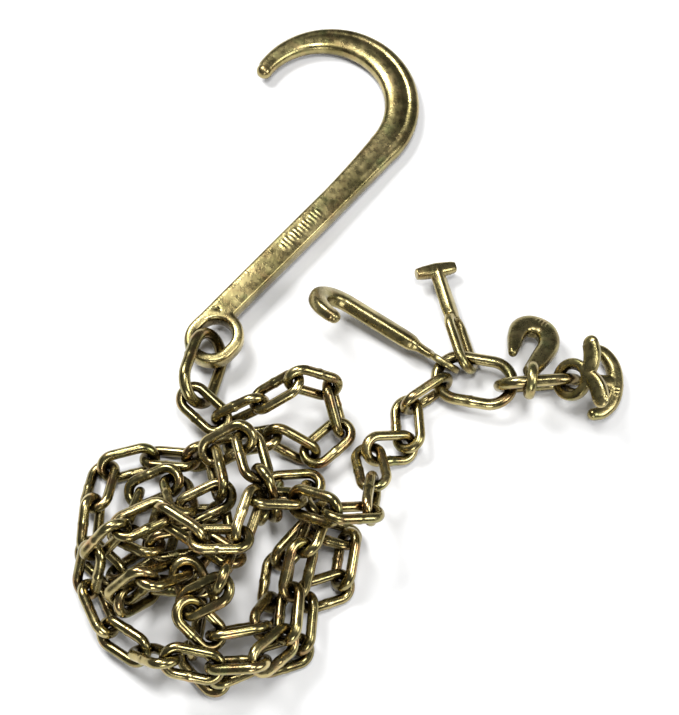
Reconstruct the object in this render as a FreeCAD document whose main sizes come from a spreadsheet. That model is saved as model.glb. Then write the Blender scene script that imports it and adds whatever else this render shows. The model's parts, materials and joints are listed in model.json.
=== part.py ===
"""Tow chain assembly with a 15 inch J hook at one end and a cluster of
four hooks at the other, lying in a heap.  FreeCAD macro, millimetres."""
import FreeCAD, Part
import math
import os

from FreeCAD import Vector, Rotation, Placement

doc = FreeCAD.newDocument("tow_chain")

# --------------------------------------------------------------------------
# Driving dimensions
# --------------------------------------------------------------------------
SIZES = [
    ("link_wire", 9.5), ("link_inner_length", 40), ("link_inner_width", 14),
    ("ring_wire", 11), ("ring_inner_length", 60), ("ring_inner_width", 32),
    ("joint_gap", 0.25),
    ("jhook_thickness", 19), ("jhook_chamfer", 2), ("jhook_shank_width", 26),
    ("jhook_eye_radius", 26), ("jhook_hole_radius", 14.5), ("jhook_hole_stretch", 3),
    ("jhook_bend_place", 266), ("jhook_bend_radius", 87), ("jhook_throat_radius", 62.5),
    ("jhook_lift", 12.2),
    ("mini_shank_length", 80), ("mini_shank_width", 18), ("mini_shank_thickness", 15),
    ("mini_bend_radius", 24), ("mini_bend_twist", 20), ("mini_eye_radius", 16.5), ("mini_hole_radius", 10),
    ("mini_eye_thickness", 7),
    ("loop_wire", 9.5), ("loop_inner_length", 46), ("loop_inner_width", 17),
    ("hammer_shank_length", 50), ("hammer_bar_length", 42), ("hammer_bar_width", 13),
    ("grab_width", 20), ("grab_thickness", 16), ("grab_eye_radius", 13), ("grab_eye_wire", 10),
    ("plate_thickness", 9), ("plate_eye_radius", 20), ("plate_hole_radius", 10.5),
    ("plate_wing_span", 70), ("plate_wing_width", 17),
    ("tee_eye_radius", 16.5), ("tee_hole_radius", 9.5), ("tee_eye_thickness", 10),
    ("tee_stem_width", 15), ("tee_bar_length", 70), ("tee_bar_width", 15),
]

sheet = doc.addObject("Spreadsheet::Sheet", "Sizes")
for row, (alias, value) in enumerate(SIZES, start=1):
    sheet.set("A%d" % row, alias)
    sheet.set("B%d" % row, str(value))
    sheet.setAlias("B%d" % row, alias)
doc.recompute()
SIZE = {alias: float(value) for alias, value in SIZES}

UP = Vector(0, 0, 1)


def heading(yaw, pitch=0.0):
    """Unit vector at a compass angle from +X, pitched up by pitch degrees."""
    yaw, pitch = math.radians(yaw), math.radians(pitch)
    return Vector(math.cos(yaw) * math.cos(pitch), math.sin(yaw) * math.cos(pitch), math.sin(pitch))


def axes(yaw, pitch, roll):
    """Long axis and width axis of a flat piece: the width axis starts level,
    on the left of the long axis, and rolls up about it."""
    along = heading(yaw, pitch)
    side = heading(yaw + 90)
    rise = along.cross(side)
    turn = math.radians(roll)
    return along, side * math.cos(turn) + rise * math.sin(turn)


def frame(origin, along, width):
    """Placement whose x is the long axis, y the width axis."""
    return Placement(origin, Rotation(along, width, along.cross(width), "XYZ"))


# --------------------------------------------------------------------------
# Where the links lie
# --------------------------------------------------------------------------
def stadium(straight, bend, count):
    """Even points round an oval: half its straight length, and its end radius."""
    points = []
    around = 4 * straight + 2 * math.pi * bend
    for i in range(count):
        s = (i + 0.5) * around / count
        if s < 2 * straight:
            points.append((-straight + s, -bend))
            continue
        s -= 2 * straight
        if s < math.pi * bend:
            turn = s / bend - math.pi / 2
            points.append((straight + bend * math.cos(turn), bend * math.sin(turn)))
            continue
        s -= math.pi * bend
        if s < 2 * straight:
            points.append((straight - s, bend))
            continue
        turn = (s - 2 * straight) / bend + math.pi / 2
        points.append((-straight + bend * math.cos(turn), bend * math.sin(turn)))
    return points


class Oval:
    """A bent wire oval lying in space, known by its centreline."""

    def __init__(self, kind, centre, along, width):
        self.kind = kind
        self.wire = SIZE[kind + "_wire"]
        self.bend = (SIZE[kind + "_inner_width"] + self.wire) / 2
        self.straight = (SIZE[kind + "_inner_length"] + self.wire) / 2 - self.bend
        self.centre, self.along, self.width = centre, along, width
        self.normal = along.cross(width)
        self.points = [centre + along * x + width * y for x, y in OUTLINE[kind]]
        self.contact = (self.far_end(), along, width)

    def far_end(self):
        return self.centre + self.along * (self.straight + self.bend)

    def round_end(self, angle):
        """Place, outward way and wire's way, angle degrees round the far end."""
        turn = math.radians(angle)
        outward = self.along * math.cos(turn) + self.width * math.sin(turn)
        wire_way = self.width * math.cos(turn) - self.along * math.sin(turn)
        return self.centre + self.along * self.straight + outward * self.bend, outward, wire_way

    def distance(self, point):
        """From a point to the centreline."""
        away = point - self.centre
        x = max(abs(away.dot(self.along)) - self.straight, 0.0)
        level = math.hypot(x, away.dot(self.width)) - self.bend
        return math.hypot(level, away.dot(self.normal))

    def reach(self):
        return self.straight * abs(self.along.z) + self.bend * math.hypot(self.along.z, self.width.z)

    def lowest(self):
        return self.centre.z - self.reach() - self.wire / 2

    def highest(self):
        return self.centre.z + self.reach() + self.wire / 2

    def placement(self):
        return frame(self.centre, self.along, self.width)


def outline_of(kind, count):
    bend = (SIZE[kind + "_inner_width"] + SIZE[kind + "_wire"]) / 2
    straight = (SIZE[kind + "_inner_length"] + SIZE[kind + "_wire"]) / 2 - bend
    return stadium(straight, bend, count)


OUTLINE = {"link": outline_of("link", 36), "ring": outline_of("ring", 60), "loop": outline_of("loop", 40)}


def clearance(one, other):
    """Least gap between two wires."""
    return min(one.distance(p) for p in other.points) - (one.wire + other.wire) / 2


def hook_on(contact, wire, kind, along, width, round_by=0.0):
    """The oval with these axes whose near end is hooked round a wire.
    contact is the wire's place, the outward way there and the wire's way;
    round_by is how far round the oval's own near end it is hooked."""
    place, outward, wire_way = contact
    turn = math.radians(round_by)
    mine = along * math.cos(turn) + width * math.sin(turn)
    my_wire_way = width * math.cos(turn) - along * math.sin(turn)
    pull = wire_way.cross(my_wire_way)
    if pull.Length < 0.80:
        return None
    pull.normalize()
    if pull.dot(outward + mine) < 0:
        pull = -pull
    if pull.dot(outward) < 0.45 or pull.dot(mine) < 0.45:
        return None
    own_wire = SIZE[kind + "_wire"]
    near = place - pull * ((wire + own_wire) / 2 + SIZE["joint_gap"])
    bend = (SIZE[kind + "_inner_width"] + own_wire) / 2
    straight = (SIZE[kind + "_inner_length"] + own_wire) / 2 - bend
    return Oval(kind, near + mine * bend + along * straight, along, width)


# The chain's way over the floor, seen from above, chosen by hand: once round
# the outside of the heap, then back over the middle, then the free run.
FIRST_LAYER = [
    (-125, -50), (-105, -45), (-80, -50), (-55, -65), (-35, -80), (-15, -70), (-5, -90), (-20, -110),
    (-45, -105), (-70, -90), (-95, -75), (-110, -65), (-130, -80), (-140, -100), (-165, -105),
    (-185, -100), (-200, -115), (-215, -125), (-215, -150), (-210, -175), (-215, -200), (-200, -215),
    (-195, -200), (-195, -165), (-175, -145), (-150, -155), (-140, -180), (-150, -205), (-175, -215),
    (-195, -240), (-175, -250), (-150, -240), (-130, -220), (-130, -250), (-145, -265), (-130, -280),
    (-105, -280), (-75, -280), (-55, -295), (-35, -285), (-15, -270), (5, -248), (25, -225),
    (40, -200), (28, -180), (0, -188), (-30, -180), (-45, -205), (-30, -235), (-45, -265),
    (-70, -275), (-100, -265), (-120, -240),
]
SECOND_LAYER = [
    (-100, -215), (-75, -230), (-55, -210), (-75, -190), (-100, -195), (-125, -200), (-150, -220),
    (-175, -220), (-195, -195), (-205, -170), (-200, -140), (-180, -125), (-160, -140), (-140, -165),
    (-120, -175), (-110, -150), (-135, -125), (-120, -105), (-95, -115), (-95, -140), (-80, -170),
    (-55, -160), (-50, -130), (-35, -120), (-30, -140), (-45, -175), (-30, -200), (-40, -230),
    (-65, -250), (-90, -270), (-115, -265), (-135, -245), (-160, -235), (-175, -210), (-160, -185),
    (-135, -190), (-110, -215), (-85, -215), (-70, -185), (-85, -165), (-75, -140), (-50, -140),
    (-30, -165), (-15, -175),
]
FREE_RUN = [(0, -155), (15, -140), (30, -130), (25, -90), (60, -120), (70, -90), (75, -60), (105, -35)]


def smooth(points, steps=6):
    """Catmull-Rom curve through the points."""
    out = []
    padded = [points[0]] + points + [points[-1]]
    for a, b, c, d in zip(padded, padded[1:], padded[2:], padded[3:]):
        for j in range(steps):
            t = j / steps
            out.append(tuple(
                0.5 * (2 * b[k] + (c[k] - a[k]) * t + (2 * a[k] - 5 * b[k] + 4 * c[k] - d[k]) * t * t
                       + (3 * b[k] - a[k] - 3 * c[k] + d[k]) * t ** 3) for k in (0, 1)))
    out.append(points[-1])
    return out


class Route:
    """A line on the floor, measured along its length."""

    def __init__(self, points):
        self.points = points
        self.marks = [0.0]
        for a, b in zip(points, points[1:]):
            self.marks.append(self.marks[-1] + math.hypot(b[0] - a[0], b[1] - a[1]))
        self.place = 0

    def at(self, s):
        s = max(0.0, min(s, self.marks[-1] - 1e-6))
        i = self.place
        while self.marks[i] > s:
            i -= 1
        while self.marks[i + 1] <= s:
            i += 1
        self.place = i
        k = (s - self.marks[i]) / (self.marks[i + 1] - self.marks[i])
        a, b = self.points[i], self.points[i + 1]
        return a[0] + (b[0] - a[0]) * k, a[1] + (b[1] - a[1]) * k

    def nearest(self, point, start, stop, step=3.0):
        """How far along the line, between two marks, it passes nearest a point."""
        best, found = None, start
        s = start
        while s <= stop:
            x, y = self.at(s)
            away = math.hypot(x - point.x, y - point.y)
            if best is None or away < best - 1e-9:
                best, found = away, s
            s += step
        return found


SLOPES = [0, -6, 6, -12, 12, -18, 18, -25, 25, -32, 32, -38, 38, -44, 44]
TURNS = [0, -14, 14, -28, 28, -42, 42, -56, 56]
ROLLS = [0, 18, -18, 34, -34]
HEAP_HEIGHT = 92.0
CHAIN_LINKS = 76


def choices(number, laid, route, travelled, run_start, wanted):
    """Ways the next link can lie, the flattest and nearest to the route first."""
    before = laid[-1]
    place, outward, wire_way = before.contact
    aim = route.at(travelled + SIZE["link_inner_length"])
    towards = math.degrees(math.atan2(aim[1] - place.y, aim[0] - place.x))
    strict = 1.6 if travelled > run_start else 0.45
    side_roll = (45 if number % 2 else -45) + 18 * math.sin(number * 2.3 + 0.7)
    turns, rolls = TURNS, ROLLS
    if number == 0:
        side_roll, rolls = 0, range(-90, 90, 9)
        turns = [0, -15, 15, -30, 30, -45, 45, -60, 60]
    found = []
    for turn in turns:
        for slope in SLOPES:
            for roll in rolls:
                along, width = axes(towards + turn, slope, side_roll + roll)
                link = hook_on(before.contact, before.wire, "link", along, width)
                if link is None or link.lowest() < 0.0 or link.highest() > HEAP_HEIGHT:
                    continue
                end = link.far_end()
                cost = link.centre.z + end.z + 0.8 * link.highest()
                cost += abs(turn) * 0.15 + abs(roll) * 0.05
                cost += strict * math.hypot(end.x - aim[0], end.y - aim[1])
                found.append((cost, len(found), link))
    found.sort(key=lambda item: item[:2])
    near = [other for other in laid[:-1] if (other.centre - place).Length < 105]
    clear = []
    for cost, order, link in found:
        if clearance(before, link) < 0.12:
            continue
        close = [other for other in near if (other.centre - link.centre).Length < 78]
        if any(clearance(other, link) < 0.35 or clearance(link, other) < 0.35 for other in close):
            continue
        clear.append(link)
        if len(clear) == wanted:
            break
    return clear


def lay_chain(laid, count, route, run_start):
    """Lay count links after the last oval laid, stepping back where none fits."""
    first = len(laid)
    laid = list(laid)
    travelled = [0.0]
    options = [choices(0, laid, route, 0.0, run_start, 14)]
    for attempt in range(20000):
        if len(laid) - first == count:
            return laid[first:]
        if not options[-1]:
            options.pop()
            laid.pop()
            travelled.pop()
            continue
        link = options[-1].pop(0)
        laid.append(link)
        travelled.append(route.nearest(link.far_end(), travelled[-1] + 18, travelled[-1] + 62))
        options.append(choices(len(laid) - first, laid, route, travelled[-1], run_start, 5))
    raise RuntimeError("the chain doesn't fit")


ring_along, ring_width = axes(75.9 + 180, 12.5, -56.3)
connecting_ring = Oval("ring", Vector(-126.5, -21.5, 26.7), ring_along, ring_width)
connecting_ring.contact = connecting_ring.round_end(-20)
heap_route = Route(smooth(FIRST_LAYER + SECOND_LAYER + FREE_RUN))
run_start = Route(smooth(FIRST_LAYER + SECOND_LAYER)).marks[-1] - 40
links = lay_chain([connecting_ring], CHAIN_LINKS - 1, heap_route, run_start)


def settle(kind, contact, wire, ways, neighbours, floor, wish):
    """The oval hooked at a contact that is clear of its neighbours and the
    floor and comes nearest to the wish.  ways gives yaws, pitches, rolls and
    how far round its own end it may be hooked."""
    best, chosen = None, None
    for yaw in ways[0]:
        for pitch in ways[1]:
            for roll in ways[2]:
                along, width = axes(yaw, pitch, roll)
                for round_by in ways[3]:
                    oval = hook_on(contact, wire, kind, along, width, round_by)
                    if oval is None or oval.lowest() < floor:
                        continue
                    cost = wish(oval)
                    if best is not None and cost >= best:
                        continue
                    if any(clearance(other, oval) < 0.12 for other in neighbours):
                        continue
                    best, chosen = cost, oval
    if chosen is None:
        raise RuntimeError("no room for a " + kind)
    return chosen


# The last link stands on edge, so that the master link can lie flat in it.
last = links[-1]
links.append(settle(
    "link", last.contact, last.wire, (range(30, 76, 5), range(-10, 21, 5), range(60, 121, 10), range(-50, 51, 10)),
    links[-3:], 0.0, lambda oval: abs(oval.far_end().z - 17) + abs(oval.centre.z - 17)))
last = links[-1]
RING_LIFT = SIZE["ring_wire"] + 0.3
master = settle(
    "ring", last.contact, last.wire, (range(-12, 13, 4), range(-6, 9, 2), range(-6, 7, 2), range(10, 81, 5)),
    links[-4:], RING_LIFT - 1, lambda oval: abs(oval.far_end().z - 21) + abs(oval.width.z) * 40)
coupling = settle(
    "ring", master.contact, master.wire, (range(-8, 9, 4), range(-4, 5, 2), range(100, 131, 5), range(-60, 61, 5)),
    [master], 0.1, lambda oval: abs(oval.lowest()) + abs(oval.along.z) * 20 + abs(oval.width.y + 0.3) * 10)
loop = settle(
    "loop", (master.centre + master.width * master.bend - master.along * 5, master.width, master.along),
    master.wire, (range(98, 115, 4), range(-8, 3, 2), range(35, 66, 5), range(-30, 31, 10)),
    [master], 0.2, lambda oval: abs(oval.lowest() - 0.3) + abs(oval.along.z + 0.07) * 30)


# --------------------------------------------------------------------------
# Building blocks
# --------------------------------------------------------------------------
def bind(item, **formulas):
    for name, formula in formulas.items():
        item.setExpression(name.replace("_", "."), formula)
    return item


def bent_oval(name, kind):
    """A wire oval at the origin: two half rings joined by two straight bars."""
    wire = "Sizes.%s_wire / 2" % kind
    bend = "(Sizes.%s_inner_width + Sizes.%s_wire) / 2" % (kind, kind)
    straight = "(Sizes.%s_inner_length - Sizes.%s_inner_width) / 2" % (kind, kind)
    pieces = []
    for end, way in (("near", -1), ("far", 1)):
        half = doc.addObject("Part::Torus", "%s_%s_end" % (name, end))
        half.Angle3 = 180
        half.Placement = Placement(Vector(), Rotation(UP, -90 * way))
        bind(half, Radius1=bend, Radius2=wire, Placement_Base_x="%d * %s" % (way, straight))
        pieces.append(half)
        bar = doc.addObject("Part::Cylinder", "%s_%s_bar" % (name, end))
        bar.Placement = Placement(Vector(), Rotation(Vector(0, 1, 0), 90))
        bind(bar, Radius=wire, Height="2 * " + straight, Placement_Base_x="-" + straight,
             Placement_Base_y="%d * %s" % (way, bend))
        pieces.append(bar)
    whole = doc.addObject("Part::MultiFuse", name)
    whole.Shapes = pieces
    whole.Refine = True
    return whole


def limb(name, wide, thick, stations):
    """Forged bar lofted through ellipses: each station is a centre, the bar's
    way there, the way across it, and factors on its width and thickness."""
    sections = []
    for number, (centre, way, across, width_factor, thick_factor) in enumerate(stations):
        ellipse = doc.addObject("Part::Ellipse", "%s_section_%d" % (name, number))
        ellipse.Placement = Placement(centre, Rotation(across, way.cross(across), way, "ZXY"))
        bind(ellipse, MajorRadius="Sizes.%s / 2 * %g" % (wide, width_factor),
             MinorRadius="Sizes.%s / 2 * %g" % (thick, thick_factor))
        sections.append(ellipse)
    loft = doc.addObject("Part::Loft", name)
    loft.Sections = sections
    loft.Solid = True
    return loft


def plate_eye(name, outer, hole, thickness):
    """Flat round eye about the local origin, its hole along local z."""
    rim = doc.addObject("Part::Cylinder", name + "_rim")
    bore = doc.addObject("Part::Cylinder", name + "_bore")
    bind(rim, Radius="Sizes." + outer, Height="Sizes." + thickness,
         Placement_Base_z="-Sizes.%s / 2" % thickness)
    bind(bore, Radius="Sizes." + hole, Height="3 * Sizes." + thickness,
         Placement_Base_z="-1.5 * Sizes.%s" % thickness)
    return rim, bore


def joined(name, pieces, bore=None):
    """Fuse pieces, then cut the bore through them."""
    whole = doc.addObject("Part::MultiFuse", name if bore is None else name + "_blank")
    whole.Shapes = pieces
    if bore is None:
        return whole
    cut = doc.addObject("Part::Cut", name)
    cut.Base, cut.Tool = whole, bore
    return cut


def tip(name, centre, alias, factor):
    """Round end of a bar."""
    ball = doc.addObject("Part::Sphere", name)
    ball.Placement = Placement(centre, Rotation())
    bind(ball, Radius="Sizes.%s / 2 * %g" % (alias, factor))
    return ball


def arc_point(centre, radius, degrees):
    """Point and tangent on a circle in the local xy plane."""
    turn = math.radians(degrees)
    point = centre + Vector(math.cos(turn), math.sin(turn), 0) * radius
    return point, Vector(-math.sin(turn), math.cos(turn), 0)


X, Y, Z = Vector(1, 0, 0), Vector(0, 1, 0), Vector(0, 0, 1)
NODES = []


def hand_over(item, name, placement):
    item.Label = name
    item.Placement = placement
    NODES.append(item)


# How each hook lies: its eye's offset from the wire it rides on, then the
# yaw and pitch of its shank and the roll of its flat side.
LIE = {
    "j_hook": (Vector(0, 0, 0), (48.5, -1.9, 0)),
    "mini_j_hook": (Vector(0, -1, 0.4), (147.6, 3.8, 69.2)),
    "grab_hook": (Vector(0, 1.4, -1.2), (84.7, -25.4, 2.8)),
    "r_hook": (Vector(0.9, -0.9, 1.4), (4.1, 41.4, 4.7)),
    "t_hook": (Vector(0.6, 2.2, 0.3), (-3.4, -12.3, 4.3)),
}


def resting(name, wire):
    offset, angles = LIE[name]
    return frame(wire + offset, *axes(*angles))


# --------------------------------------------------------------------------
# J hook
# --------------------------------------------------------------------------
def j_hook():
    """Flat forging: an outline padded to its thickness, its long edges bevelled."""
    bend = Vector(SIZE["jhook_bend_place"], SIZE["jhook_bend_radius"] + 1, 0)
    throat = bend + Vector(-6.4, 7.7, 0)
    outer, inner = SIZE["jhook_bend_radius"], SIZE["jhook_throat_radius"]
    eye = SIZE["jhook_eye_radius"]
    tip_angle = 98
    outer_end = arc_point(bend, outer, tip_angle)[0]
    inner_end = arc_point(throat, inner, tip_angle + 4)[0]
    tip_middle = (outer_end + inner_end) * 0.5 + (outer_end - inner_end).cross(Z).normalize() * -7.5
    neck = Vector(40, 1, 0)
    eye_right = arc_point(Vector(), eye, -26)[0]
    eye_left = arc_point(Vector(), eye, 88)[0]
    shoulder = Vector(178, 1 + SIZE["jhook_shank_width"], 0)
    inner_start = arc_point(throat, inner, -84)[0]
    body = doc.addObject("PartDesign::Body", "j_hook_body")
    sketch = body.newObject("Sketcher::SketchObject", "j_hook_outline")
    sketch.AttachmentSupport = [(body.Origin.OriginFeatures[3], "")]
    sketch.MapMode = "FlatFace"
    sketch.addGeometry([
        Part.LineSegment(neck, Vector(bend.x, 1, 0)),
        Part.Arc(Vector(bend.x, 1, 0), arc_point(bend, outer, 0)[0], outer_end),
        Part.Arc(outer_end, tip_middle, inner_end),
        Part.Arc(inner_end, arc_point(throat, inner, 10)[0], inner_start),
        Part.LineSegment(inner_start, shoulder),
        Part.LineSegment(shoulder, eye_left),
        Part.Arc(eye_left, Vector(-eye, 0, 0), eye_right),
        Part.LineSegment(eye_right, neck),
    ], False)
    pad = body.newObject("PartDesign::Pad", "j_hook_pad")
    pad.Profile = sketch
    pad.Midplane = True
    pad.setExpression("Length", "Sizes.jhook_thickness")
    doc.recompute()
    faces = ["Face%d" % (i + 1) for i, face in enumerate(pad.Shape.Faces)
             if abs(abs(face.normalAt(0, 0).z) - 1) < 1e-6]
    bevel = body.newObject("PartDesign::Chamfer", "j_hook_bevel")
    bevel.Base = (pad, faces)
    bevel.setExpression("Size", "Sizes.jhook_chamfer")
    hole = body.newObject("Sketcher::SketchObject", "j_hook_hole")
    hole.AttachmentSupport = [(body.Origin.OriginFeatures[3], "")]
    hole.MapMode = "FlatFace"
    radius, stretch = SIZE["jhook_hole_radius"], SIZE["jhook_hole_stretch"]
    hole.addGeometry([
        Part.Arc(Vector(stretch, -radius, 0), Vector(stretch + radius, 0, 0), Vector(stretch, radius, 0)),
        Part.LineSegment(Vector(stretch, radius, 0), Vector(-stretch, radius, 0)),
        Part.Arc(Vector(-stretch, radius, 0), Vector(-stretch - radius, 0, 0), Vector(-stretch, -radius, 0)),
        Part.LineSegment(Vector(-stretch, -radius, 0), Vector(stretch, -radius, 0)),
    ], False)
    pocket = body.newObject("PartDesign::Pocket", "j_hook_eye_hole")
    pocket.Profile = hole
    pocket.Midplane = True
    pocket.setExpression("Length", "Sizes.jhook_thickness * 2")
    body.Tip = pocket
    hand_over(body, "j_hook", resting("j_hook", Vector(-117.5, 10, 21.7)))


# --------------------------------------------------------------------------
# Hooks of the cluster
# --------------------------------------------------------------------------
def mini_j_hook():
    """Long shank with a small J bend; its flat eye rides on the master link."""
    bend_at = Vector(26 + SIZE["mini_shank_length"], SIZE["mini_bend_radius"], 0)
    twist = Rotation(X, -SIZE["mini_bend_twist"])
    stations = [(Vector(12, 0, 0), X, Y, 0.62, 0.46), (Vector(22, 0, 0), X, Y, 0.62, 0.54),
                (Vector(34, 0, 0), X, Y, 0.92, 0.86), (Vector(55, 0, 0), X, Y, 1.0, 1.0),
                (Vector(85, 0, 0), X, Y, 1.0, 1.0)]
    for degrees, size in ((-90, 1.0), (-50, 1.05), (-10, 1.02), (30, 0.94), (66, 0.84), (96, 0.74)):
        point, way = arc_point(bend_at, SIZE["mini_bend_radius"], degrees)
        point, way, face = (twist.multVec(v) for v in (point, way, Z))
        stations.append((point, way, way.cross(face) * -1, size, size))
    shank = limb("mini_j_shank", "mini_shank_width", "mini_shank_thickness", stations)
    end = tip("mini_j_tip", stations[-1][0], "mini_shank_thickness", 0.80)
    rim, bore = plate_eye("mini_j_eye", "mini_eye_radius", "mini_hole_radius", "mini_eye_thickness")
    hook = joined("mini_j", [shank, end, rim], bore)
    outward = (master.along * -math.cos(math.radians(37.7)) + master.width * math.sin(math.radians(37.7)))
    wire_at = master.centre - master.along * master.straight + outward * master.bend
    hand_over(hook, "mini_j_hook", resting("mini_j_hook", wire_at))


def hammerhead_hook():
    """Long loop eye, a flat shank and a crossbar like a hammer's head."""
    eye = bent_oval("hammer_loop", "loop")
    start = loop.straight + loop.bend
    length = SIZE["hammer_shank_length"]
    stations = [(Vector(start - 3, 0, 0), X, Y, 1.05, 0.95), (Vector(start + 8, 0, 0), X, Y, 1.3, 1.0),
                (Vector(start + 24, 0, 0), X, Y, 1.2, 1.0), (Vector(start + length, 0, 0), X, Y, 1.0, 1.0)]
    shank = limb("hammer_shank", "hammer_bar_width", "hammer_bar_width", stations)
    half = SIZE["hammer_bar_length"] / 2
    across = Y * math.cos(math.radians(-50)) + Z * math.sin(math.radians(-50))
    middle = Vector(start + length, 0, 0)
    bar = limb("hammer_bar", "hammer_bar_width", "hammer_bar_width", [
        (middle + across * (half * k), across, X, size, size)
        for k, size in ((-0.8, 0.8), (-0.4, 1.0), (0, 1.1), (0.4, 1.0), (1.0, 0.78))])
    hook = joined("hammer", [eye, shank, bar])
    hand_over(hook, "hammerhead_hook", loop.placement())


def grab_hook():
    """Grab hook with a narrow slot; its eye is turned square to its plane."""
    stations = []
    for x, y, lean, width, thickness in (
            (10, 1, -24, 0.70, 0.75), (29.5, -8.5, -26, 0.92, 0.95), (45, -15.5, -18, 1.0, 1.0),
            (58, -17, 5, 1.04, 1.0), (70, -12, 48, 1.12, 1.0), (74.5, 0, 92, 1.16, 1.0),
            (69, 9.5, 142, 1.02, 1.0), (58, 13.5, 168, 0.86, 0.96), (46, 15.2, 173, 0.68, 0.80),
            (35, 16.6, 173, 0.46, 0.55)):
        way = heading(lean)
        stations.append((Vector(x, y, 0), way, heading(lean + 90), width, thickness))
    bowl = limb("grab_hook_bowl", "grab_width", "grab_thickness", stations)
    end = tip("grab_hook_tip", stations[-1][0], "grab_width", 0.45)
    eye = doc.addObject("Part::Torus", "grab_hook_eye")
    eye.Placement = Placement(Vector(), Rotation(X, 90))
    bind(eye, Radius1="Sizes.grab_eye_radius", Radius2="Sizes.grab_eye_wire / 2")
    hook = joined("grab", [bowl, end, eye])
    rail = coupling.centre + coupling.width * coupling.bend - coupling.along * 9
    hand_over(hook, "grab_hook", resting("grab_hook", rail))


def r_hook():
    """Flat butterfly plate with an eye hole, for a slot in a frame."""
    half = "Sizes.plate_wing_span / 2"
    rim, bore = plate_eye("r_hook_eye", "plate_eye_radius", "plate_hole_radius", "plate_thickness")
    pieces = [rim]
    for side, way in (("left", 1), ("right", -1)):
        wing = doc.addObject("Part::Cylinder", "r_hook_%s_wing" % side)
        wing.Placement = Placement(Vector(26, 0, 0), Rotation())
        bind(wing, Radius="Sizes.plate_wing_width / 2", Height="Sizes.plate_thickness",
             Placement_Base_y="%d * (%s - Sizes.plate_wing_width / 2)" % (way, half),
             Placement_Base_z="-Sizes.plate_thickness / 2")
        pieces.append(wing)
    bar = doc.addObject("Part::Box", "r_hook_bar")
    bind(bar, Length="Sizes.plate_wing_width", Width="Sizes.plate_wing_span - Sizes.plate_wing_width",
         Height="Sizes.plate_thickness", Placement_Base_x="26 - Sizes.plate_wing_width / 2",
         Placement_Base_y="-(%s - Sizes.plate_wing_width / 2)" % half,
         Placement_Base_z="-Sizes.plate_thickness / 2")
    hook = joined("r_plate", pieces + [bar], bore)
    hand_over(hook, "r_hook", resting("r_hook", coupling.round_end(47.3)[0]))


def t_hook():
    """Flat eye, short stem and a crossbar whose arms sweep back."""
    rim, bore = plate_eye("t_hook_eye", "tee_eye_radius", "tee_hole_radius", "tee_eye_thickness")
    stem = limb("t_hook_stem", "tee_stem_width", "tee_stem_width", [
        (Vector(12, 0, 0), X, Y, 1.15, 0.62), (Vector(20, 0, 0), X, Y, 1.0, 0.8),
        (Vector(30, 0, 0), X, Y, 1.0, 1.0), (Vector(40, 0, 0), X, Y, 1.2, 1.0)])
    half = SIZE["tee_bar_length"] / 2
    sweep = [(0.0, 0, 0, 1.05), (0.3, 0.8, 8, 1.0), (0.58, 4.5, 28, 0.95), (0.82, 12, 58, 0.85), (0.9, 20, 80, 0.75)]
    stations = []
    for side, k, back, lean, size in ([(-1,) + step for step in sweep[:0:-1]] + [(1,) + step for step in sweep]):
        turn = math.radians(side * lean)
        stations.append((Vector(40 - back, side * half * k, 0), Vector(-math.sin(turn), math.cos(turn), 0),
                         Vector(math.cos(turn), math.sin(turn), 0), size, size))
    arms = limb("t_hook_arms", "tee_bar_width", "tee_bar_width", stations)
    pieces = [rim, stem, arms, tip("t_hook_left_tip", stations[-1][0], "tee_bar_width", 0.82),
              tip("t_hook_right_tip", stations[0][0], "tee_bar_width", 0.82)]
    hook = joined("tee", pieces, bore)
    hand_over(hook, "t_hook", resting("t_hook", coupling.round_end(-17)[0]))


# --------------------------------------------------------------------------
# Chain and rings
# --------------------------------------------------------------------------
FREE_LINKS = 5
LINKS_PER_NODE = 2


def chain():
    """Free links are nodes of their own; the heap's links go two to a node."""
    pattern = bent_oval("link_pattern", "link")
    doc.recompute()
    heap = links[:-FREE_LINKS]
    for start in range(0, len(heap), LINKS_PER_NODE):
        copies = []
        for link in heap[start:start + LINKS_PER_NODE]:
            copy = pattern.Shape.copy()
            copy.Placement = link.placement()
            copies.append(copy)
        node = doc.addObject("Part::Feature", "heap_links_%02d" % (start // LINKS_PER_NODE + 1))
        node.Shape = Part.makeCompound(copies)
        hand_over(node, node.Name, Placement())
    for number, link in enumerate(links[-FREE_LINKS:], start=1):
        item = bent_oval("run_link_%d_wire" % number, "link")
        hand_over(item, "run_link_%d" % number, link.placement())
    for name, ring in (("connecting_ring", connecting_ring), ("master_link", master),
                       ("coupling_link", coupling)):
        hand_over(bent_oval(name + "_wire", "ring"), name, ring.placement())


j_hook()
mini_j_hook()
hammerhead_hook()
grab_hook()
r_hook()
t_hook()
chain()
doc.recompute()

# --------------------------------------------------------------------------
# Put the origin under the middle of the whole, then write one file a node
# --------------------------------------------------------------------------
for item in doc.Objects:
    if "Invalid" in item.State or "Error" in item.State:
        raise RuntimeError("%s did not rebuild" % item.Name)

whole = FreeCAD.BoundBox()
for node in NODES:
    if node.Shape.isNull() or not node.Shape.isValid():
        raise RuntimeError("%s has no valid shape" % node.Label)
    whole.add(node.Shape.optimalBoundingBox(False, False))
shift = Vector(-(whole.XMin + whole.XMax) / 2, -(whole.YMin + whole.YMax) / 2, -whole.ZMin)
for node in NODES:
    node.Placement = Placement(shift, Rotation()) * node.Placement
doc.recompute()

os.makedirs("parts", exist_ok=True)
for node in NODES:
    node.Shape.exportStep("parts/%s.step" % node.Label)
print("nodes", len(NODES), "size", whole.XLength, whole.YLength, whole.ZLength, "shift", shift)
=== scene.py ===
import json
import math

import bmesh
import bpy
import numpy as np
from mathutils import Matrix, Vector, noise


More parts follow.
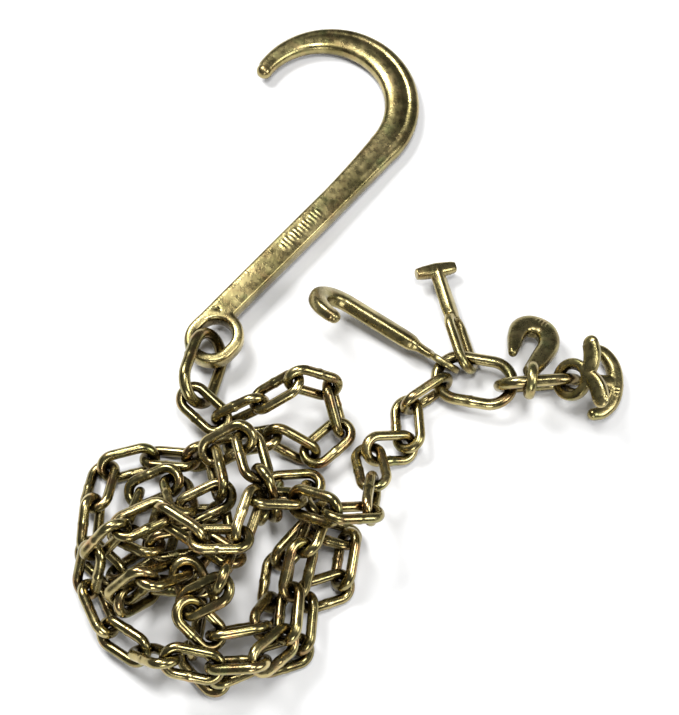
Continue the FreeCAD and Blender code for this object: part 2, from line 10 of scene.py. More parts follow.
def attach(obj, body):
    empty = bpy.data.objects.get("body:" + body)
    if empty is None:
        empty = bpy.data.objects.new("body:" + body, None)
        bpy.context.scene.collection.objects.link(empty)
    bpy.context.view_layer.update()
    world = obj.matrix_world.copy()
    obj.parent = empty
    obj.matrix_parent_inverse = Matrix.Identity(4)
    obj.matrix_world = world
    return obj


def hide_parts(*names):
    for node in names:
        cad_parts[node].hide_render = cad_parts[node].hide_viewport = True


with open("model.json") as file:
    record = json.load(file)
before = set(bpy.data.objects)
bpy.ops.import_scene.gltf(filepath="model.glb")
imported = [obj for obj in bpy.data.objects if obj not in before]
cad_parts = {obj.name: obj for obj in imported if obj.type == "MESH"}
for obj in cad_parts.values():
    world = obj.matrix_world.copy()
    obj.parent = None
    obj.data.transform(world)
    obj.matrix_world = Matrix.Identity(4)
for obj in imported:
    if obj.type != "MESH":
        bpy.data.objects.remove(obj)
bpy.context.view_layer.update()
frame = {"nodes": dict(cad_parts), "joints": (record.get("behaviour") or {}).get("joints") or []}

bl_info = {
    "name": "Tow chain assembly",
    "version": (1, 0, 0),
    "blender": (4, 5, 0),
    "location": "View3D > Sidebar > Tow chain",
    "description": "Plated tow chain in a heap with a large J hook and a cluster of small hooks",
    "category": "Object",
}

MM = 0.001
X, Y, Z = Vector((1, 0, 0)), Vector((0, 1, 0)), Vector((0, 0, 1))
JOINTS = {joint["child"]: joint for joint in frame["joints"]}

PAINTED_SHADE_REACH = 0.022  # metres round a spot that are looked at for the painted shade of its corners
FLUTE_PLACE, FLUTE_SPREAD = -0.30, 0.20  # of a bar's half width

# Camera, in metres and degrees, and lamps: name, place, size and power
CAMERA_AIM = Vector((-0.0132, -0.0156, 0))
CAMERA_DISTANCE, CAMERA_ELEVATION = 1.6, 68
CAMERA_SENSOR, CAMERA_LENS = 36.0, 89.5
LAMP_AIM = Vector((0, 0.02, 0.03))
LAMPS = (("key", (-0.9, 0.9, 1.7), 0.8, 44), ("fill", (1.5, -0.6, 1.4), 0.9, 20),
         ("top", (0.1, -0.1, 2.3), 0.5, 22), ("front", (0.0, -1.9, 0.9), 0.6, 10))

# How each hook lies: shift from its joint in mm, then yaw, pitch and roll in degrees
LIE = {
    "j_hook": ((0, 0, 0), 48.5, -1.9, 0),
    "mini_j_hook": ((0, -1, 0.4), 147.6, 3.8, 69.2),
    "hammerhead_hook": ((-11.07, 16.51, -1.66), 106, 0, 60),
    "grab_hook": ((0, 1.4, -1.2), 84.7, -25.4, 2.8),
    "r_hook": ((0.9, -0.9, 1.4), 4.1, 41.4, 4.7),
    "t_hook": ((0.6, 2.2, 0.3), -3.4, -12.3, 4.3),
}


# --------------------------------------------------------------------------
# Sizes and colours
# --------------------------------------------------------------------------
class ChainSizes(bpy.types.PropertyGroup):
    """Wire of the chain, in millimetres."""
    link_wire: bpy.props.FloatProperty(
        name="Link wire", description="Diameter of the link wire, mm", default=9.4)
    link_length: bpy.props.FloatProperty(
        name="Link length", description="Inside length of a link, mm", default=40.1)
    link_width: bpy.props.FloatProperty(
        name="Link width", description="Inside width of a link, mm", default=14.1)
    ring_wire: bpy.props.FloatProperty(
        name="Ring wire", description="Diameter of the ring wire, mm", default=10.9)
    ring_length: bpy.props.FloatProperty(
        name="Ring length", description="Inside length of a ring, mm", default=60.1)
    ring_width: bpy.props.FloatProperty(
        name="Ring width", description="Inside width of a ring, mm", default=32.1)
    weld: bpy.props.FloatProperty(
        name="Weld", description="Height of the weld bead on a link, mm", default=0.45)


class PlatingColours(bpy.types.PropertyGroup):
    """Tints of the plating, from thin to thick film, and the painted shade of its corners."""
    straw: bpy.props.FloatVectorProperty(
        name="Straw", description="Pale gold of the thin film",
        subtype="COLOR", size=3, default=(0.52, 0.43, 0.20))
    olive: bpy.props.FloatVectorProperty(
        name="Olive", description="Green-gold of the thick film",
        subtype="COLOR", size=3, default=(0.215, 0.185, 0.075))
    copper: bpy.props.FloatVectorProperty(
        name="Copper", description="Pink-copper bloom",
        subtype="COLOR", size=3, default=(0.45, 0.235, 0.115))
    green: bpy.props.FloatVectorProperty(
        name="Green", description="Green bloom",
        subtype="COLOR", size=3, default=(0.26, 0.31, 0.12))
    smoke: bpy.props.FloatVectorProperty(
        name="Smoke", description="Brown, thickest film",
        subtype="COLOR", size=3, default=(0.115, 0.080, 0.030))
    # Painted shade: a near-black brown laid into corners and creases. It stands in for shade and is
    # not a film on the metal.
    painted_shade: bpy.props.FloatVectorProperty(
        name="Painted shade", description="Dark film in the corners",
        subtype="COLOR", size=3, default=(0.045, 0.028, 0.012))


# --------------------------------------------------------------------------
# Plating
# --------------------------------------------------------------------------
def node_of(tree, kind, **settings):
    """A shader node with its sockets, or else its own settings, filled in."""
    node = tree.nodes.new(kind)
    for name, value in settings.items():
        if name in node.inputs:
            node.inputs[name].default_value = value
        else:
            setattr(node, name, value)
    return node


def cloud(tree, place, scale, detail, low, high):
    """Soft noise squeezed to 0..1 between two levels."""
    grain = node_of(tree, "ShaderNodeTexNoise", Scale=scale, Detail=detail, Roughness=0.6)
    tree.links.new(place, grain.inputs["Vector"])
    return remapped(tree, grain.outputs["Fac"], {"From Min": low, "From Max": high})


def remapped(tree, value, levels):
    """A value moved from one pair of levels to another."""
    level = node_of(tree, "ShaderNodeMapRange", **levels)
    tree.links.new(value, level.inputs["Value"])
    return level.outputs["Result"]


def faded(tree, value, strength):
    """A value made weaker by a plain factor."""
    weaker = node_of(tree, "ShaderNodeMath", operation="MULTIPLY")
    weaker.inputs[1].default_value = strength
    tree.links.new(value, weaker.inputs[0])
    return weaker.outputs[0]


def blend_colours(tree, amount, first, second):
    """First colour going over to the second as amount goes from 0 to 1."""
    mix = tree.nodes.new("ShaderNodeMix")
    mix.data_type, mix.blend_type = "RGBA", "MIX"
    factor, one, two = mix.inputs[0], mix.inputs[6], mix.inputs[7]
    tree.links.new(amount, factor)
    for socket, value in ((one, first), (two, second)):
        if isinstance(value, bpy.types.NodeSocket):
            tree.links.new(value, socket)
        else:
            socket.default_value = (*value, 1.0)
    return mix.outputs[2]


def plating(name, bloom, smoke, satin, grain):
    """Iridescent yellow zinc over steel: bloom and smoke are how strongly the pink and brown films
    show, satin its roughness, grain its forged skin.
    Its corners and creases get painted shade from ambient occlusion."""
    colours = bpy.context.scene.plating_colours
    material = bpy.data.materials.new(name)
    material.use_nodes = True
    tree = material.node_tree
    shader = tree.nodes["Principled BSDF"]
    shader.inputs["Metallic"].default_value = 1.0
    place = tree.nodes.new("ShaderNodeTexCoord").outputs["Object"]

    film = cloud(tree, place, 26, 3, 0.36, 0.66)
    tint = blend_colours(tree, film, colours.olive, colours.straw)
    pink = faded(tree, cloud(tree, place, 64, 2, 0.52, 0.80), bloom)
    tint = blend_colours(tree, pink, tint, colours.copper)
    leaf = cloud(tree, place, 47, 2, 0.58, 0.86)
    tint = blend_colours(tree, leaf, tint, colours.green)
    burnt = faded(tree, cloud(tree, place, 33, 4, 0.50, 0.78), smoke)
    tint = blend_colours(tree, burnt, tint, colours.smoke)

    # Painted shade: ambient occlusion darkens the tint towards near-black brown in corners, creases
    # and between parts.
    shade_probe = node_of(tree, "ShaderNodeAmbientOcclusion", Distance=PAINTED_SHADE_REACH, samples=8)
    unshaded_share = remapped(tree, shade_probe.outputs["AO"], {"From Min": 0.20, "From Max": 0.92})
    tint = blend_colours(tree, unshaded_share, colours.painted_shade, tint)
    tree.links.new(tint, shader.inputs["Base Color"])

    rub = cloud(tree, place, 140, 4, 0.3, 0.7)
    gloss = remapped(tree, rub, {"To Min": satin - 0.07, "To Max": satin + 0.10})
    tree.links.new(gloss, shader.inputs["Roughness"])

    skin = node_of(tree, "ShaderNodeTexNoise", Scale=620.0, Detail=3.0)
    dents = node_of(tree, "ShaderNodeTexNoise", Scale=120.0, Detail=2.0)
    for texture in (skin, dents):
        tree.links.new(place, texture.inputs["Vector"])
    fine = node_of(tree, "ShaderNodeBump", Strength=grain, Distance=0.0005)
    coarse = node_of(tree, "ShaderNodeBump", Strength=grain * 0.6, Distance=0.002)
    tree.links.new(skin.outputs["Fac"], fine.inputs["Height"])
    tree.links.new(dents.outputs["Fac"], coarse.inputs["Height"])
    tree.links.new(fine.outputs["Normal"], coarse.inputs["Normal"])
    tree.links.new(coarse.outputs["Normal"], shader.inputs["Normal"])
    return material


def chain_plating():
    """Bright, strongly tinted plating of the links and rings."""
    made = bpy.data.materials.get("chain_plating")
    return made or plating("chain_plating", bloom=0.90, smoke=0.75, satin=0.21, grain=0.12)


def forged_plating():
    """Duller, browner plating of the forged hooks."""
    made = bpy.data.materials.get("forged_plating")
    return made or plating("forged_plating", bloom=0.35, smoke=0.85, satin=0.27, grain=0.24)


# --------------------------------------------------------------------------
# Mesh making, in millimetres
# --------------------------------------------------------------------------
def section(centre, across, up, half_width, half_height, power, groove=0.0, points=32):
    """One closed cross-section: a rounded box, square for a high power.
    groove is the depth of a flute along its upper face."""
    ring = []
    for step in range(points):
        turn = 2 * math.pi * step / points
        u, v = math.cos(turn), math.sin(turn)
        u = math.copysign(abs(u) ** (2 / power), u)
        v = math.copysign(abs(v) ** (2 / power), v)
        fall = math.exp(-((u - FLUTE_PLACE) / FLUTE_SPREAD) ** 2)
        dip = groove * fall if v > 0.5 else 0.0
        ring.append(centre + across * (u * half_width) + up * (v * half_height - dip))
    return ring


def skin_over(bm, rings, closed=False):
    """Quads from ring to ring, capped at both ends unless the run is closed."""
    rows = [[bm.verts.new(point) for point in ring] for ring in rings]
    pairs = list(zip(rows, rows[1:])) + ([(rows[-1], rows[0])] if closed else [])
    for one, two in pairs:
        for i in range(len(one)):
            j = (i + 1) % len(one)
            bm.faces.new((one[i], one[j], two[j], two[i]))
    if not closed:
        bm.faces.new(list(reversed(rows[0])))
        bm.faces.new(rows[-1])


def bar(bm, path, widths, heights, power=2.4, up=Z, grooves=None):
    """Forged bar along a path of points; widths and heights are full sizes."""
    rings = []
    for i, point in enumerate(path):
        way = (path[min(i + 1, len(path) - 1)] - path[max(i - 1, 0)]).normalized()
        across = up.cross(way).normalized()
        squareness = power[i] if isinstance(power, list) else power
        groove = grooves[i] if grooves else 0.0
        rings.append(section(
            point, across, way.cross(across), widths[i] / 2, heights[i] / 2, squareness, groove))
    skin_over(bm, rings)


def ball(bm, centre, radius, squash=1.0):
    """Round end of a bar; squash flattens it upright."""
    bmesh.ops.create_uvsphere(bm, u_segments=24, v_segments=14, radius=radius,
                              matrix=Matrix.Translation(centre) @ Matrix.Diagonal((1, 1, squash, 1)))


def eye(bm, hole, outer, thickness, stretch=0.0, power=3.0, up=Z):
    """Round or slightly long eye whose hole looks along the up axis."""
    rings, middle = [], (hole + outer) / 2
    side = up.cross(X).normalized()
    for step in range(72):
        turn = 2 * math.pi * step / 72
        outward = X * math.cos(turn) + side * math.sin(turn)
        centre = outward * middle + X * math.copysign(stretch, math.cos(turn))
        rings.append(section(
            centre, outward, up, (outer - hole) / 2, thickness / 2, power, points=20))
    skin_over(bm, rings, closed=True)


def stretched(values, count):
    """Rows of numbers eased through by a smooth curve, count samples long."""
    rows = np.array(values, float)
    spots = np.linspace(0, len(rows) - 1, count)
    out = []
    for spot in spots:
        i = min(int(spot), len(rows) - 2)
        t = spot - i
        a, b, c, d = (rows[min(max(i + k, 0), len(rows) - 1)] for k in (-1, 0, 1, 2))
        out.append(0.5 * (2 * b + (c - a) * t + (2 * a - 5 * b + 4 * c - d) * t * t
                          + (3 * b - a - 3 * c + d) * t ** 3))
    return out


def sized(path, *table):
    """Widths and heights along a path from rows of run, width and height."""
    runs = [0.0]
    for one, two in zip(path, path[1:]):
        runs.append(runs[-1] + (two - one).length)
    curve = np.array(stretched(table, 200))
    return np.interp(runs, curve[:, 0], curve[:, 1]), np.interp(runs, curve[:, 0], curve[:, 2])


def pose_of(name):
    """Where a hook lies: on the wire its joint names, then shifted and turned."""
    offset, yaw, pitch, roll = LIE[name]
    yaw, pitch, roll = (math.radians(angle) for angle in (yaw, pitch, roll))
    level = Vector((math.cos(yaw), math.sin(yaw), 0))
    along = level * math.cos(pitch) + Z * math.sin(pitch)
    side = Vector((-math.sin(yaw), math.cos(yaw), 0))
    width = side * math.cos(roll) + along.cross(side) * math.sin(roll)
    place = Vector(JOINTS[name]["pos_m"]) + Vector(offset) * MM
    turn = Matrix((along, width, along.cross(width))).transposed().to_4x4()
    return Matrix.Translation(place) @ turn @ Matrix.Scale(MM, 4)


def to_object(bm, name):
    """Mesh object of what has been drawn, with its faces turned outwards."""
    bmesh.ops.recalc_face_normals(bm, faces=bm.faces)
    mesh = bpy.data.meshes.new(name)
    bm.to_mesh(mesh)
    bm.free()
    piece = bpy.data.objects.new(name, mesh)
    bpy.context.scene.collection.objects.link(piece)
    return piece


def forge(bm, name, voxel, passes):
    """Melt overlapping bars into one body with soft fillets."""
    piece = to_object(bm, name)
    melt = piece.modifiers.new("melt", "REMESH")
    melt.mode, melt.voxel_size = "VOXEL", voxel
    soften = piece.modifiers.new("soften", "SMOOTH")
    soften.factor, soften.iterations = 0.5, passes
    bpy.context.view_layer.update()
    shaped = piece.evaluated_get(bpy.context.evaluated_depsgraph_get())
    finished = bpy.data.meshes.new_from_object(shaped)
    piece.modifiers.clear()
    piece.data = finished
    return piece


def hand_over(piece, material, body, *nodes):
    """Finish a piece: its plating, the solids it stands for and its body."""
    for face in piece.data.polygons:
        face.use_smooth = True
    piece.data.materials.clear()
    piece.data.materials.append(material)
    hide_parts(*nodes)
    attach(piece, body)


def raised_ticks(bm, start, step, count, height, width, top, along=X):
    """Row of plain raised bars standing on a flat face."""
    side = Z.cross(along)
    for i in range(count):
        tall = height * (1.0 if i % 3 else 0.7)
        centre = start + along * (step * i)
        bar(bm, [centre - side * tall / 2 + Z * top, centre + side * tall / 2 + Z * top],
            [width, width], [1.6, 1.6], 3.0)


# --------------------------------------------------------------------------
# Ovals of bent wire
# --------------------------------------------------------------------------
def islands(node):
    """Vertex places and triangles of each separate solid of a node."""
    bm = bmesh.new()
    bm.from_mesh(frame["nodes"][node].data)
    bmesh.ops.remove_doubles(bm, verts=bm.verts, dist=2e-6)
    bmesh.ops.triangulate(bm, faces=bm.faces)
    seen, groups = set(), []
    for first in bm.verts:
        if first in seen:
            continue
        seen.add(first)
        stack, faces = [first], set()
        while stack:
            vert = stack.pop()
            for face in vert.link_faces:
                faces.add(face)
                for other in face.verts:
                    if other not in seen:
                        seen.add(other)
                        stack.append(other)
        if faces:
            groups.append(np.array([[v.co[:] for v in face.verts] for face in faces]))
    bm.free()
    return groups


def oval_pose(triangles):
    """Centre and axes of an oval, weighing each triangle by its area."""
    middles = triangles.mean(axis=1)
    edges = triangles[:, 1:] - triangles[:, :1]
    areas = np.linalg.norm(np.cross(edges[:, 0], edges[:, 1]), axis=1)
    centre = (middles * areas[:, None]).sum(axis=0) / areas.sum()
    away = middles - centre
    _, ways = np.linalg.eigh((away * areas[:, None]).T @ away)
    along, width = Vector(ways[:, 2]), Vector(ways[:, 1])
    turn = Matrix((along, width, along.cross(width))).transposed().to_4x4()
    return Matrix.Translation(Vector(centre)) @ turn @ Matrix.Scale(MM, 4)


def bent_oval(bm, pose, wire, inside_length, inside_width, weld, seed, steps=72):
    """Wire oval with its weld bead half way along one side."""
    bend = (inside_width + wire) / 2
    straight = (inside_length - inside_width) / 2
    whole = 4 * straight + 2 * math.pi * bend
    rings = []
    for step in range(steps):
        run = whole * step / steps
        if run < straight or run >= whole - straight:
            s = run if run < straight else run - whole
            centre, outward = Vector((s, -bend, 0)), -Y
        elif run < straight + math.pi * bend:
            turn = (run - straight) / bend - math.pi / 2
            outward = Vector((math.cos(turn), math.sin(turn), 0))
            centre = X * straight + outward * bend
        elif run < 3 * straight + math.pi * bend:
            centre, outward = Vector((2 * straight + math.pi * bend - run, bend, 0)), Y
        else:
            turn = (run - 3 * straight - math.pi * bend) / bend + math.pi / 2
            outward = Vector((math.cos(turn), math.sin(turn), 0))
            centre = -X * straight + outward * bend
        bead = weld * math.exp(-(centre.x / 2.1) ** 2) if centre.y < 0 else 0.0
        ring = []
        for k in range(18):
            turn = 2 * math.pi * k / 18
            way = outward * math.cos(turn) + Z * math.sin(turn)
            lump = noise.noise(centre * 0.8 + way * 3 + Vector((seed, 0, 0))) * bead * 1.2
            ring.append(pose @ (centre + way * (wire / 2 + bead + lump)))
        rings.append(ring)
    skin_over(bm, rings, closed=True)


class TOW_OT_heap(bpy.types.Operator):
    """Links of the heap, two to a piece"""
    bl_idname = "tow.heap"
    bl_label = "Heap of chain"

    def execute(self, context):
        sizes = context.scene.chain_sizes
        heap = sorted(node for node in frame["nodes"] if node.startswith("heap_links_"))
        for number, node in enumerate(heap):
            bm = bmesh.new()
            for place, triangles in enumerate(islands(node)):
                bent_oval(bm, oval_pose(triangles), sizes.link_wire, sizes.link_length,
                          sizes.link_width, sizes.weld, seed=number * 7 + place * 3)
            piece = to_object(bm, "chain_links_%02d" % (number + 1))
            hand_over(piece, chain_plating(), "heap", node)
        return {"FINISHED"}


class TOW_OT_run(bpy.types.Operator):
    """Free links and the three oval rings, one piece each"""
    bl_idname = "tow.run"
    bl_label = "Free links and rings"

    def execute(self, context):
        sizes = context.scene.chain_sizes
        link = (sizes.link_wire, sizes.link_length, sizes.link_width, sizes.weld)
        ring = (sizes.ring_wire, sizes.ring_length, sizes.ring_width, sizes.weld)
        nodes = [("run_link_%d" % i, "free_link_%d" % i, link) for i in range(1, 6)]
        nodes += [("connecting_ring", "hook_ring", ring), ("master_link", "master_ring", ring),
                  ("coupling_link", "coupling_ring", ring)]
        for number, (node, name, (wire, length, width, weld)) in enumerate(nodes):
            bm = bmesh.new()
            bent_oval(bm, oval_pose(islands(node)[0]), wire, length, width, weld, 100 + number)
            hand_over(to_object(bm, name), chain_plating(), node, node)
        return {"FINISHED"}


# --------------------------------------------------------------------------
# Hooks
# --------------------------------------------------------------------------
class TOW_OT_j_hook(bpy.types.Operator):
    """Large J hook: flat shank, fluted bowl, round eye"""
    bl_idname = "tow.j_hook"
    bl_label = "J hook"

    @staticmethod
    def inner_edge(x):
        """Inner edge of the shank: a slight taper, then a flare into the bowl."""
        taper, flare, bend = 18, 178, 266
        if x < flare:
            return 25.5 + 1.5 * (x - taper) / (flare - taper)
        return 27 + 6.5 * ((x - flare) / (bend - flare)) ** 1.6

    def execute(self, context):
        bm = bmesh.new()
        bowl, bowl_radius = Vector((266, 88, 0)), 87
        throat, throat_radius = Vector((259.6, 95.7, 0)), 62.5
        shank_thickness, bend_thickness, tip_loss = 18.2, 18.8, 3.6
        shank_power, bend_power, tip_power = 6.5, 2.8, 2.3
        flute_depth, back = 2.3, 1
        path, widths, heights, powers, flutes = [], [], [], [], []
        for x in range(24, 262, 6):
            inner = self.inner_edge(x)
            swell = min(max((x - 150) / 110, 0), 1)
            path.append(Vector((x, (back + inner) / 2, 0)))
            widths.append(inner - back)
            heights.append(shank_thickness + (bend_thickness - shank_thickness) * swell)
            powers.append(shank_power - (shank_power - bend_power) * swell)
            flutes.append(flute_depth * swell)
        for angle in range(-90, 99, 4):
            turn = math.radians(angle)
            way = Vector((math.cos(turn), math.sin(turn), 0))
            outer, inner = bowl + way * bowl_radius, throat + way * throat_radius
            worn = 1 - min(max((95 - angle) / 70, 0), 1)
            path.append((outer + inner) / 2)
            widths.append((outer - inner).length)
            heights.append(bend_thickness - tip_loss * worn)
            powers.append(bend_power - (bend_power - tip_power) * worn)
            flutes.append(flute_depth * min(max((75 - angle) / 80, 0), 1))
        bar(bm, path, widths, heights, powers, Z, flutes)
        ball(bm, path[-1] + Vector((-2.5, -1.0, 0)), widths[-1] / 2 * 0.98, 0.95)
        eye(bm, hole=14.7, outer=26, thickness=18.4, stretch=3.0, power=3.4)
        shoulder = [17.6, 17.8, 18]
        bar(bm, [Vector((0, 21.4, 0)), Vector((18, 21.2, 0)), Vector((44, 19, 0))],
            [8.6, 9, 13], shoulder, 3.2)
        bar(bm, [Vector((19.5, 6, 0)), Vector((30, 8, 0)), Vector((46, 9, 0))],
            [13, 14, 15], shoulder, 3.6)
        raised_ticks(bm, Vector((112, 14, 0)), step=4.2, count=13, height=9, width=1.5, top=9.1)
        piece = forge(bm, "tow_hook", 1.0, 5)
        piece.data.transform(pose_of("j_hook"))
        hand_over(piece, forged_plating(), "j_hook", "j_hook")
        return {"FINISHED"}


class TOW_OT_mini_j_hook(bpy.types.Operator):
    """Mini J hook: thick round shank, short bend, flat eye"""
    bl_idname = "tow.mini_j_hook"
    bl_label = "Mini J hook"

    def execute(self, context):
        bm = bmesh.new()
        twist = Matrix.Rotation(math.radians(-20), 3, "X")
        shank, radius = 106, 24
        path = [Vector((x, 0, 0)) for x in range(14, shank, 3)]
        for angle in range(-90, 95, 6):
            turn = math.radians(angle)
            path.append(twist @ Vector(
                (shank + radius * math.cos(turn), radius + radius * math.sin(turn), 0)))
        widths, heights = sized(  # run, width, thickness
            path, (0, 11.5, 7), (12, 11, 8), (18, 13, 11), (24, 17.2, 14.2), (46, 18, 15),
            (71, 18, 15), (92, 18, 15), (109, 18.6, 15.4), (126, 18.2, 15.2), (142, 16.8, 14.2),
            (157, 15, 13), (168, 13.4, 11.8))
        bar(bm, path, widths, heights, 2.9, twist @ Z)
        ball(bm, path[-1] + Vector((-1, 0, 0)), 6.2)
        eye(bm, hole=10.2, outer=16.4, thickness=6.9, power=3.2)
        piece = forge(bm, "small_bend_hook", 0.6, 3)
        piece.data.transform(pose_of("mini_j_hook"))
        hand_over(piece, forged_plating(), "mini_j_hook", "mini_j_hook")
        return {"FINISHED"}


class TOW_OT_hammerhead_hook(bpy.types.Operator):
    """Hammerhead hook: long loop eye, waisted shank, crossbar"""
    bl_idname = "tow.hammerhead_hook"
    bl_label = "Hammerhead hook"

    def execute(self, context):
        bm = bmesh.new()
        wire, length, width = 9.3, 46.1, 17.1
        bent_oval(bm, Matrix.Identity(4), wire, length, width, weld=0.0, seed=0)
        start = 46.5 / 2 + 4.6
        rows = stretched([  # place along the shank, width, thickness
            (start - 3, 13.6, 12), (start + 8, 16.8, 12.8), (start + 24, 15.4, 12.8),
            (start + 38, 13.8, 12.6), (start + 50, 13, 12.8)], 22)
        path = [Vector((x, 0, 0)) for x, _, _ in rows]
        bar(bm, path, [wide for _, wide, _ in rows], [thick for *_, thick in rows], 3.2)
        lean, half_head = math.radians(-50), 21
        across = Y * math.cos(lean) + Z * math.sin(lean)
        rows = stretched([  # place along the head, from end to end, and its size there
            (-0.92, 9.6), (-0.7, 11.8), (-0.35, 13), (0, 14), (0.35, 13), (0.7, 11.8),
            (0.98, 9.8)], 18)
        sizes = [size for _, size in rows]
        bar(bm, [path[-1] + across * (half_head * k) for k, _ in rows], sizes, sizes, 2.8, X)
        piece = forge(bm, "hammer_hook", 0.6, 3)
        piece.data.transform(pose_of("hammerhead_hook"))
        hand_over(piece, forged_plating(), "hammerhead_hook", "hammerhead_hook")
        return {"FINISHED"}


class TOW_OT_grab_hook(bpy.types.Operator):
    """Grab hook: swollen bowl, narrow slot, eye square to its plane"""
    bl_idname = "tow.grab_hook"
    bl_label = "Grab hook"

    def execute(self, context):
        bm = bmesh.new()
        rows = stretched([  # x, y, width, thickness
            (10, 1, 14, 12), (29.5, -8.5, 18.2, 15.2), (45, -15.5, 19.8, 15.8),
            (58, -17, 20.6, 15.8), (70, -12, 22, 15.8), (74.5, 0, 23, 15.8), (69, 9.5, 20.2, 15.8),
            (58, 13.5, 17, 15.2), (46, 15.2, 13.4, 12.8), (35, 16.6, 9.0, 9.0)], 60)
        bar(bm, [Vector((x, y, 0)) for x, y, _, _ in rows],
            [wide for _, _, wide, _ in rows], [thick for *_, thick in rows], 2.7)
        ball(bm, Vector((35, 16.6, 0)), 4.4)
        eye(bm, hole=8.2, outer=17.8, thickness=9.8, power=2.3, up=Y)
        raised_ticks(bm, Vector((70, -14, 0)), step=3.6, count=4, height=6, width=1.4, top=7.7,
                     along=Vector((0.55, 0.83, 0)))
        piece = forge(bm, "slot_hook", 0.6, 4)
        piece.data.transform(pose_of("grab_hook"))
        hand_over(piece, forged_plating(), "grab_hook", "grab_hook")
        return {"FINISHED"}


class TOW_OT_r_hook(bpy.types.Operator):
    """R hook: flat plate with two wings and a hole"""
    bl_idname = "tow.r_hook"
    bl_label = "R hook"

    def execute(self, context):
        bm = bmesh.new()
        thickness = 8.8
        eye(bm, hole=10.7, outer=19.9, thickness=thickness, power=3.4)
        for side in (-1, 1):
            rows = stretched([  # x, y, width
                (16, 0, 12), (22, 7, 15), (25.5, 17, 16.4), (26, 26.5, 16)], 14)
            bar(bm, [Vector((x, side * y, 0)) for x, y, _ in rows],
                [wide for *_, wide in rows], [thickness] * len(rows), 3.4)
            ball(bm, Vector((26, side * 26.5, 0)), 8.2, 0.5)
        piece = forge(bm, "wing_hook", 0.55, 3)
        piece.data.transform(pose_of("r_hook"))
        hand_over(piece, forged_plating(), "r_hook", "r_hook")
        return {"FINISHED"}


class TOW_OT_t_hook(bpy.types.Operator):
    """T hook: flat eye, short stem, swept crossbar"""
    bl_idname = "tow.t_hook"
    bl_label = "T hook"

    def execute(self, context):
        bm = bmesh.new()
        eye(bm, hole=9.7, outer=16.4, thickness=9.8, power=2.8)
        stem = 40
        rows = stretched([  # x, width, thickness
            (13, 16.5, 9.5), (20, 15, 12), (30, 15, 14.8), (stem, 18, 15)], 14)
        bar(bm, [Vector((x, 0, 0)) for x, _, _ in rows],
            [wide for _, wide, _ in rows], [thick for *_, thick in rows], 2.6)
        rows = stretched([  # y, how far back the bar sweeps, size
            (31.5, 20, 11.2), (28.7, 12, 12.6), (20.3, 4.5, 14.2), (10.5, 0.8, 15), (0, 0, 15.7),
            (-10.5, 0.8, 15), (-20.3, 4.5, 14.2), (-28.7, 12, 12.6), (-31.5, 20, 11.2)], 44)
        sizes = [size for *_, size in rows]
        bar(bm, [Vector((stem - back, y, 0)) for y, back, _ in rows], sizes, sizes, 2.4)
        for side in (-1, 1):
            ball(bm, Vector((20, 31.5 * side, 0)), 5.9)
        raised_ticks(bm, Vector((stem, -12, 0)), step=3.4, count=3, height=5, width=1.3, top=7.3,
                     along=Y)
        piece = forge(bm, "cross_hook", 0.55, 3)
        piece.data.transform(pose_of("t_hook"))
        hand_over(piece, forged_plating(), "t_hook", "t_hook")
        return {"FINISHED"}


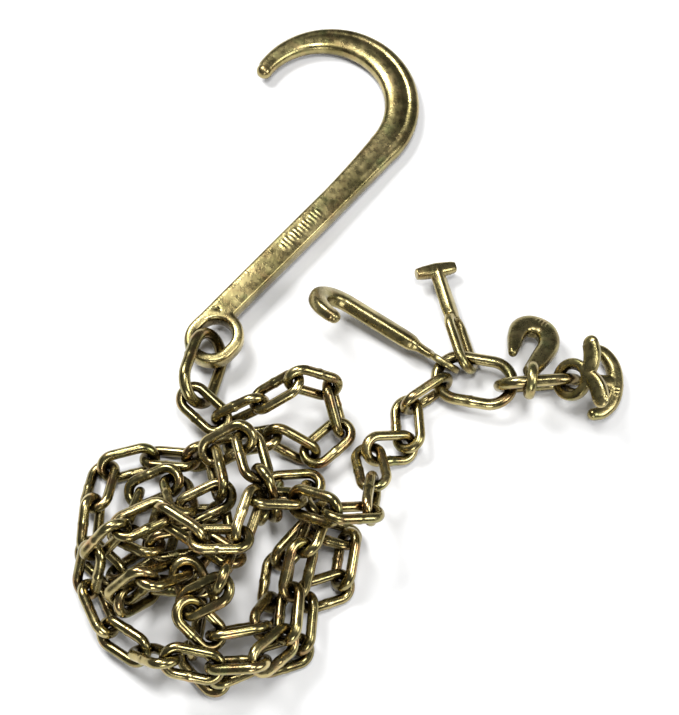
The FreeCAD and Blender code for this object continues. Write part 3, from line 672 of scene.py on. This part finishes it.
# --------------------------------------------------------------------------
# Stage
# --------------------------------------------------------------------------
class TOW_OT_stage(bpy.types.Operator):
    """Pale floor, soft lights and the camera"""
    bl_idname = "tow.stage"
    bl_label = "Stage"

    def execute(self, context):
        scene = context.scene
        scene.view_settings.view_transform = "Standard"
        bm = bmesh.new()
        bmesh.ops.create_grid(bm, x_segments=1, y_segments=1, size=6.0)
        floor = to_object(bm, "floor")
        paper = bpy.data.materials.new("paper")
        paper.use_nodes = True
        surface = paper.node_tree.nodes["Principled BSDF"].inputs
        surface["Base Color"].default_value = (0.88, 0.88, 0.88, 1)
        surface["Roughness"].default_value = 0.9
        floor.data.materials.append(paper)

        world = bpy.data.worlds.new("studio")
        world.use_nodes = True
        sky = world.node_tree.nodes["Background"].inputs
        sky["Color"].default_value = (0.80, 0.82, 0.85, 1)
        sky["Strength"].default_value = 0.13
        scene.world = world
        for name, place, size, power in LAMPS:
            lamp = bpy.data.lights.new(name, "AREA")
            lamp.size, lamp.energy = size, power
            light = bpy.data.objects.new(name, lamp)
            light.location = place
            light.rotation_euler = (LAMP_AIM - Vector(place)).to_track_quat("-Z", "Y").to_euler()
            scene.collection.objects.link(light)

        lens = bpy.data.cameras.new("camera")
        lens.sensor_fit, lens.sensor_width, lens.lens = "HORIZONTAL", CAMERA_SENSOR, CAMERA_LENS
        camera = bpy.data.objects.new("camera", lens)
        rise = math.radians(CAMERA_ELEVATION)
        camera.location = CAMERA_AIM + (Z * math.sin(rise) - Y * math.cos(rise)) * CAMERA_DISTANCE
        camera.rotation_euler = (math.pi / 2 - rise, 0, 0)
        scene.collection.objects.link(camera)
        scene.camera = camera
        return {"FINISHED"}


class TOW_PT_panel(bpy.types.Panel):
    """Sizes, colours and pieces of the tow chain"""
    bl_label = "Tow chain"
    bl_idname = "TOW_PT_panel"
    bl_space_type = "VIEW_3D"
    bl_region_type = "UI"
    bl_category = "Tow chain"

    def draw(self, context):
        for group in (context.scene.chain_sizes, context.scene.plating_colours):
            for name in group.bl_rna.properties.keys():
                if name not in ("rna_type", "name"):
                    self.layout.prop(group, name)
        for operator in PIECES:
            self.layout.operator(operator.bl_idname)


PIECES = (TOW_OT_heap, TOW_OT_run, TOW_OT_j_hook, TOW_OT_mini_j_hook, TOW_OT_hammerhead_hook,
          TOW_OT_grab_hook, TOW_OT_r_hook, TOW_OT_t_hook, TOW_OT_stage)
CLASSES = (ChainSizes, PlatingColours) + PIECES + (TOW_PT_panel,)


def register():
    for item in CLASSES:
        bpy.utils.register_class(item)
    bpy.types.Scene.chain_sizes = bpy.props.PointerProperty(type=ChainSizes)
    bpy.types.Scene.plating_colours = bpy.props.PointerProperty(type=PlatingColours)


def unregister():
    del bpy.types.Scene.chain_sizes
    del bpy.types.Scene.plating_colours
    for item in reversed(CLASSES):
        bpy.utils.unregister_class(item)


def main():
    register()
    for operator in PIECES:
        group, name = operator.bl_idname.split(".")
        getattr(getattr(bpy.ops, group), name)()


if __name__ == "__main__":
    main()
